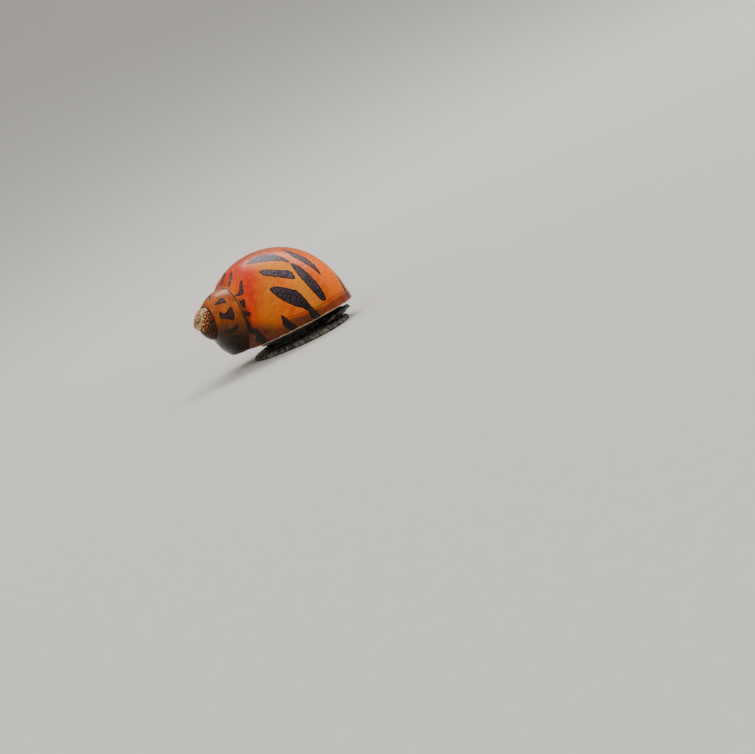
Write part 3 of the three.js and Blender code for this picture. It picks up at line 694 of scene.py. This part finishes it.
def on_head(x, back, z):
    return np.array([HEAD_MIDDLE_X + x, HEAD_TIP_Y + back, HEAD_MIDDLE_Z + z])


def head_ring(back, width, height):
    angle = circle(40)
    across, up = HEAD_HALF_WIDTH * width * np.cos(angle), HEAD_HALF_HEIGHT * height * np.sin(angle)
    return np.column_stack([across, np.full(40, back), up]) + on_head(0, 0, 0)


def bent_tube(mesh, path, radii):
    """Adds a tapering tube that follows points in space to a bmesh."""
    steps, stations = np.linspace(0, len(path) - 1, 30), range(len(path))
    line = np.column_stack([np.interp(steps, stations, values) for values in np.transpose(path)])
    for _ in range(6):
        line[1:-1] = (line[:-2] + 2 * line[1:-1] + line[2:]) / 4
    angle, rings = circle(20)[:, None], []
    ways, widths = np.gradient(line, axis=0), np.interp(steps, stations, radii)
    for middle, ahead, radius in zip(line, ways, widths):
        first = np.cross(ahead, [0, 0, 1.0])
        first /= np.linalg.norm(first)
        second = np.cross(ahead / np.linalg.norm(ahead), first)
        rings.append(middle + radius * (np.cos(angle) * first + np.sin(angle) * second))
    tube(mesh, rings)


flesh = bmesh.new()
foot_levels = ((0, 0.965, 0), (0.16, 1, 0.7), (0.3, 1, 1), (0.46, 0.985, 1), (0.62, 0.96, 0.8),
               (0.76, 0.925, 0.5), (0.95, 0.83, 0.2), (1.25, 0.7, 0), (1.7, 0.56, 0), (1.95, 0.46, 0))
head_levels = ((5.6, 0.72, 0.9), (3.8, 0.86, 1), (2.3, 1, 1), (1.5, 0.98, 0.96), (0.8, 0.88, 0.84),
               (0.35, 0.74, 0.66), (0.1, 0.56, 0.44), (0, 0.4, 0.26))
neck_levels = ((2.9, 0.9), (1.9, 2.1), (1.7, 2.7), (1.0, 3.1))
mantle_levels = ((0.75, 2.98), (0.35, 3.1), (0.12, 3.4), (0.12, 3.8))
tube(flesh, [foot_ring(*level) for level in foot_levels])
tube(flesh, [opening_ring(*level) for level in neck_levels])
tube(flesh, [opening_ring(*level) for level in mantle_levels])
tube(flesh, [head_ring(*level) for level in head_levels])
for hand in (1, -1):
    bent_tube(flesh, [on_head(hand * x, back, z) for x, back, z in FEELER_PATH], FEELER_RADII)
    stalk = bmesh.ops.create_uvsphere(flesh, u_segments=24, v_segments=16, radius=STALK_RADIUS)["verts"]
    bmesh.ops.translate(flesh, verts=stalk, vec=on_head(hand * STALK_ON_HEAD[0], *STALK_ON_HEAD[1:]))
skin = piece_of(flesh, "soft_body")
apply_modifier(skin, "REMESH", mode="VOXEL", voxel_size=SKIN_VOXEL)
apply_modifier(skin, "SMOOTH", factor=0.5, iterations=3)

# Wrinkles all over, fine rays on the margin of the foot, and the line of the mouth
points, normals = shape_of(skin)
sole = points[:, 2] < 0.1
around_foot = np.arctan2(points[:, 0] / FOOT_WIDTH, -points[:, 1] / FOOT_LENGTH)
reach = np.hypot(points[:, 0] / (FOOT_WIDTH / 2), points[:, 1] / (FOOT_LENGTH / 2))
margin = ramp(reach, 0.86, 0.99) * ramp(1.1 - points[:, 2], 0, 0.6)
relief = 0.035 * waves(points * [1, 1, 1.6], 0.9, 31) + 0.02 * waves(points, 0.42, 32)
relief += 0.03 * np.sin(around_foot * 74 + 2 * waves(points, 3, 33)) * margin
mouth = np.hypot((points[:, 0] - HEAD_MIDDLE_X) / 1.05, (points[:, 2] - HEAD_MIDDLE_Z + 0.62) / 0.42)
mouth = np.exp(-((mouth - 1) / 0.16) ** 2) * ramp(-points[:, 1], 8.1, 8.35) * ramp(points[:, 2], 1.1, 1.3)
points += normals * np.where(sole, 0, relief - 0.1 * mouth)[:, None]
points[:, 2] = np.where(sole, np.clip(points[:, 2], 0, None), np.maximum(points[:, 2], 0.02))
points[sole & (normals[:, 2] < -0.6), 2] = 0
move_points(skin, points)
keep_value(skin, "foot_mm", np.stack([around_foot * 7.5, reach * 7, points[:, 2]], -1))
keep_value(skin, "margin", margin)
keep_value(skin, "mouth", mouth)

# Mucous skin: soft flesh that slime keeps wet, dark with pale grey speckles about 0.25 mm across.
# To the eye: small wet glints over soft folds, and a greyer, finely rayed fringe round the sole.
wet_skin = bpy.data.materials.new("moist_mottled_skin")
wet_skin.use_nodes = True
tree = wet_skin.node_tree
tree.nodes.clear()
in_mm = node(tree, "VectorMath", {0: node(tree, "TexCoord")["Object"], 1: MM}, **TIMES)[0]
mottle = node(tree, "TexNoise", {"Vector": in_mm, "Scale": 1.3, "Detail": 4, "Roughness": 0.65})[0]
specks = node(tree, "TexVoronoi", {"Vector": in_mm, "Scale": 3.6})["Distance"]
foot_at = node(tree, "Attribute", attribute_name="foot_mm")["Vector"]
rays_at = node(tree, "VectorMath", {0: foot_at, 1: (2.6, 0.35, 1)}, **TIMES)[0]
rays = node(tree, "TexNoise", {"Vector": rays_at, "Scale": 1, "Detail": 3, "Roughness": 0.6})[0]
mottle_share = node(tree, "MapRange", {0: mottle, 1: 0.38, 2: 0.66}, **SOFT)[0]
speck_share = node(tree, "MapRange", {0: specks, 1: 0.05, 2: 0.3, 3: 0.45, 4: 0}, **SOFT)[0]
ray_share = node(tree, "MapRange", {0: rays, 1: 0.42, 2: 0.6}, **SOFT)[0]
fringe_share = node(tree, "Attribute", attribute_name="margin")["Fac"]
mouth_share = node(tree, "Attribute", attribute_name="mouth")["Fac"]
flesh_colour = node(tree, "Mix", {0: mottle_share, 6: linear("#171513"), 7: linear("#38342f")}, **COLOUR)[2]
fringe = node(tree, "Mix", {0: ray_share, 6: linear("#2c2925"), 7: linear("#6e675b")}, **COLOUR)[2]
for share, colour in ((speck_share, linear("#6c665c")), (fringe_share, fringe),
                      (mouth_share, linear("#0e0c0c"))):
    flesh_colour = node(tree, "Mix", {0: share, 6: flesh_colour, 7: colour}, **COLOUR)[2]
relief = node(tree, "Math", {0: mottle, 1: 0.1}, **TIMES)[0]
relief = node(tree, "Math", {0: specks, 1: -0.05, 2: relief}, operation="MULTIPLY_ADD")[0]
bump = node(tree, "Bump", {"Height": relief, "Distance": 0.001, "Strength": 0.8})[0]
rough = node(tree, "MapRange", {0: mottle, 1: 0.3, 2: 0.7, 3: 0.22, 4: 0.42}, **SOFT)[0]
shader = node(tree, "BsdfPrincipled", {
    "Base Color": flesh_colour, "Roughness": rough, "IOR": 1.38, "Normal": bump,
    "Subsurface Weight": 0.08, "Subsurface Radius": (1, 0.6, 0.4), "Subsurface Scale": 0.0004})
node(tree, "OutputMaterial", {"Surface": shader[0]})
skin.data.materials.append(wet_skin)
finish_piece(skin, "soft_body", "foot", "head", "mantle", "tentacle_left", "tentacle_right")

# The operculum: the horny and limy lid that closes the shell, a D-shaped plate 7.8 by 4 mm.
# It rides on the tail of the foot, under the flat of the shell, and grew in curved bands.
LID_HALF_LENGTH, LID_BULGE, LID_MIDDLE, LID_LOW, LID_VOXEL = 3.9, (3.75, 6.5), (0.2, 2.9), 1.6, 0.07
share = np.linspace(0, 1, 33)[:, None]
arch_corners = np.array([[1, 0], [1, 0], [-0.6, 0], [-1, 0]]) * LID_HALF_LENGTH
arch_corners[1:3, 1] = LID_BULGE
weights = (1 - share) ** 3, 3 * share * (1 - share) ** 2, 3 * share ** 2 * (1 - share), share ** 3
arch = sum(weight * corner for weight, corner in zip(weights, arch_corners))
straight_edge = np.column_stack([np.linspace(-1, 1, 17)[1:-1] * LID_HALF_LENGTH,
                                 -0.22 * np.cos(np.linspace(-1.5, 1.5, 15))])
outline = np.vstack([arch, straight_edge]) + LID_MIDDLE
centre = outline.mean(0)
lid_levels = ((0, 0.93), (0.04, 0.97), (0.12, 0.99), (0.38, 0.99), (0.46, 0.97), (0.5, 0.93), (0.51, 0.6),
              (0.49, 0.3))
plate = bmesh.new()
tube(plate, [np.column_stack([centre + (outline - centre) * scale, np.full(len(outline), LID_LOW + z)])
             for z, scale in lid_levels])
lid = piece_of(plate, "operculum_plate")
apply_modifier(lid, "REMESH", mode="VOXEL", voxel_size=LID_VOXEL)
apply_modifier(lid, "SMOOTH", factor=0.5, iterations=3)
points, normals = shape_of(lid)
band = np.hypot(points[:, 0] + 1.6, (points[:, 1] - 3.2) * 1.3)
points += normals * (0.012 * np.sin(band * 11) * (np.abs(normals[:, 2]) > 0.8))[:, None]
move_points(lid, points)
keep_value(lid, "band_mm", band)

# Conchiolin over lime: a horny plate laid down band by band, each about 0.3 mm wide.
# To the eye: dull olive-brown with fine curved bands and a low gloss.
horn = bpy.data.materials.new("banded_horn_plate")
horn.use_nodes = True
tree = horn.node_tree
tree.nodes.clear()
in_mm = node(tree, "VectorMath", {0: node(tree, "TexCoord")["Object"], 1: MM}, **TIMES)[0]
mottle = node(tree, "TexNoise", {"Vector": in_mm, "Scale": 1.1, "Detail": 4})[0]
band_at = node(tree, "Attribute", attribute_name="band_mm")["Fac"]
bands_at = node(tree, "CombineXYZ", {0: node(tree, "Math", {0: band_at, 1: 3.5}, **TIMES)[0]})[0]
bands = node(tree, "TexNoise", {"Vector": bands_at, "Scale": 1, "Detail": 3})[0]
band_share = node(tree, "MapRange", {0: bands, 1: 0.35, 2: 0.65}, **SOFT)[0]
stain_share = node(tree, "MapRange", {0: mottle, 1: 0.4, 2: 0.7, 3: 0, 4: 0.5}, **SOFT)[0]
plate_colour = node(tree, "Mix", {0: band_share, 6: linear("#4a382a"), 7: linear("#8a7258")}, **COLOUR)[2]
plate_colour = node(tree, "Mix", {0: stain_share, 6: plate_colour, 7: linear("#5c5548")}, **COLOUR)[2]
relief = node(tree, "Math", {0: bands, 1: 0.04}, **TIMES)[0]
bump = node(tree, "Bump", {"Height": relief, "Distance": 0.001, "Strength": 0.7})[0]
rough = node(tree, "MapRange", {0: mottle, 1: 0.3, 2: 0.7, 3: 0.32, 4: 0.5}, **SOFT)[0]
shader = node(tree, "BsdfPrincipled", {
    "Base Color": plate_colour, "Roughness": rough, "IOR": 1.5, "Normal": bump})
node(tree, "OutputMaterial", {"Surface": shader[0]})
lid.data.materials.append(horn)
finish_piece(lid, "operculum_plate", "operculum")

# The eyes: a black eye 0.65 mm across on the outer side of a short stalk at each feeler's root.
# Each is a lens that stands slightly proud of a dark cup, as in life.
EYE_RADIUS, EYE_ON_HEAD, EYE_LOOK = 0.31, (2.9, 2.45, 0.14), (0.75, -0.62, 0.2)

# Cornea over black pigment: a clear skin kept wet.
# To the eye: one sharp glint on black, inside a dull brown ring where the cup begins.
cornea = bpy.data.materials.new("wet_black_cornea")
cornea.use_nodes = True
tree = cornea.node_tree
tree.nodes.clear()
facing_at = node(tree, "Attribute", attribute_name="facing")["Fac"]
lens_share = node(tree, "MapRange", {0: facing_at, 1: 0.35, 2: 0.6}, **SOFT)[0]
eye_colour = node(tree, "Mix", {0: lens_share, 6: linear("#2a2521"), 7: linear("#050506")}, **COLOUR)[2]
rough = node(tree, "MapRange", {0: lens_share, 3: 0.3, 4: 0.06})[0]
shader = node(tree, "BsdfPrincipled", {
    "Base Color": eye_colour, "Roughness": rough, "IOR": 1.4, "Coat Weight": 0.5})
node(tree, "OutputMaterial", {"Surface": shader[0]})
for hand, name in ((1, "left"), (-1, "right")):
    look = Vector((hand * EYE_LOOK[0], *EYE_LOOK[1:])).normalized()
    globe = bmesh.new()
    bmesh.ops.create_uvsphere(globe, u_segments=40, v_segments=28, radius=EYE_RADIUS)
    facing = [v.co.normalized().dot(look) for v in globe.verts]
    for v, toward in zip(globe.verts, facing):
        v.co *= 1 + 0.09 * max(0.0, toward - 0.72) / 0.28
    bmesh.ops.translate(globe, verts=globe.verts, vec=on_head(hand * EYE_ON_HEAD[0], *EYE_ON_HEAD[1:]))
    eye = piece_of(globe, "eye_ball_" + name)
    keep_value(eye, "facing", facing)
    eye.data.materials.append(cornea)
    finish_piece(eye, "eye", "eye_" + name)

# The camera: at the photograph's own viewpoint and with its lens, turned with the animal now that it
# stands on a floor. It looks from the animal's right front, and leans over by 26 degrees.
lens = bpy.data.cameras.new("camera")
lens.lens, lens.sensor_width, lens.clip_start, lens.clip_end = LENS_MM, SENSOR_MM, 0.005, 20
camera = bpy.data.objects.new("camera", lens)
bpy.context.scene.collection.objects.link(camera)
camera.matrix_world = Matrix((right, over, away)).transposed().to_4x4()
camera.location = viewpoint / 1000
bpy.context.scene.camera = camera

# The floor: a pale sheet of paper that sweeps up behind into a backdrop, as on a photographer's
# table. The sweep begins 0.3 m behind the animal and is gradual, so that the camera sees no edge.
SWEEP_START, SWEEP_RADIUS, WALL_TOP, FLOOR_FRONT, HALF_WIDTH = 0.3, 2.2, 3.2, -2.5, 5.0
bend = [math.radians(a) for a in range(0, 91, 5)]
rows = [(FLOOR_FRONT, 0)] + [(SWEEP_START + SWEEP_RADIUS * math.sin(a), SWEEP_RADIUS * (1 - math.cos(a)))
                             for a in bend] + [(SWEEP_START + SWEEP_RADIUS, WALL_TOP)]
behind = Vector((-away.x, -away.y, 0)).normalized()
sweep = bmesh.new()
grid = [[sweep.verts.new(behind * back + level * aside + Vector((0, 0, up)))
         for aside in (-HALF_WIDTH, HALF_WIDTH)] for back, up in rows]
for near, far in zip(grid, grid[1:]):
    sweep.faces.new((near[0], near[1], far[1], far[0]))
floor = piece_of(sweep, "floor")
floor.data.shade_smooth()

# Seamless backdrop paper: uncoated and rolled; to the eye an even, matt, pale grey without shine.
paper = bpy.data.materials.new("matt_backdrop_paper")
paper.use_nodes = True
tree = paper.node_tree
tree.nodes.clear()
in_mm = node(tree, "VectorMath", {0: node(tree, "TexCoord")["Object"], 1: MM}, **TIMES)[0]
fibres = node(tree, "TexNoise", {"Vector": in_mm, "Scale": 0.8, "Detail": 3})[0]
paper_colour = node(tree, "Mix", {0: fibres, 6: linear("#c2c0ba"), 7: linear("#c9c7c1")}, **COLOUR)[2]
shader = node(tree, "BsdfPrincipled", {
    "Base Color": paper_colour, "Roughness": 0.9, "Specular IOR Level": 0.2})
node(tree, "OutputMaterial", {"Surface": shader[0]})
floor.data.materials.append(paper)

# The light: a long soft lamp above the animal's left side gives the sheen on the dome, a wide weak
# one fills in from the front, and the sky is bright above and dim at its edge.
sky = bpy.data.worlds.new("sky")
sky.use_nodes = True
tree = sky.node_tree
tree.nodes.clear()
rise = node(tree, "SeparateXYZ", {0: node(tree, "TexCoord")["Generated"]})[2]
strength = node(tree, "MapRange", {0: rise, 1: 0, 2: 1, 3: 0.42, 4: 0.95}, **SOFT)[0]
glow = node(tree, "Background", {"Color": (1, 0.98, 0.95, 1), "Strength": strength})[0]
node(tree, "OutputWorld", {"Surface": glow})
bpy.context.scene.world = sky
# Each lamp: its name, its direction from the animal, and its distance, size and power in m and W
LAMPS = (("key", (0.5, -0.03, 0.8), 0.9, (1.0, 0.45), 8.6),
         ("fill", (-0.6, -0.5, 0.85), 1.3, (1.1, 1.1), 5.0))
for name, direction, distance, size, power in LAMPS:
    lamp = bpy.data.lights.new(name, "AREA")
    lamp.shape, lamp.size, lamp.size_y, lamp.energy = "RECTANGLE", *size, power
    toward = Vector(direction).normalized()
    across = Vector((0.26, -0.94, -0.22)) if name == "key" else Vector((0, 0, 1)).cross(toward)
    across = (across - across.dot(toward) * toward).normalized()
    held = bpy.data.objects.new(name, lamp)
    held.matrix_world = Matrix((across, toward.cross(across), toward)).transposed().to_4x4()
    held.location = toward * distance
    held.visible_glossy = name == "key"
    bpy.context.scene.collection.objects.link(held)
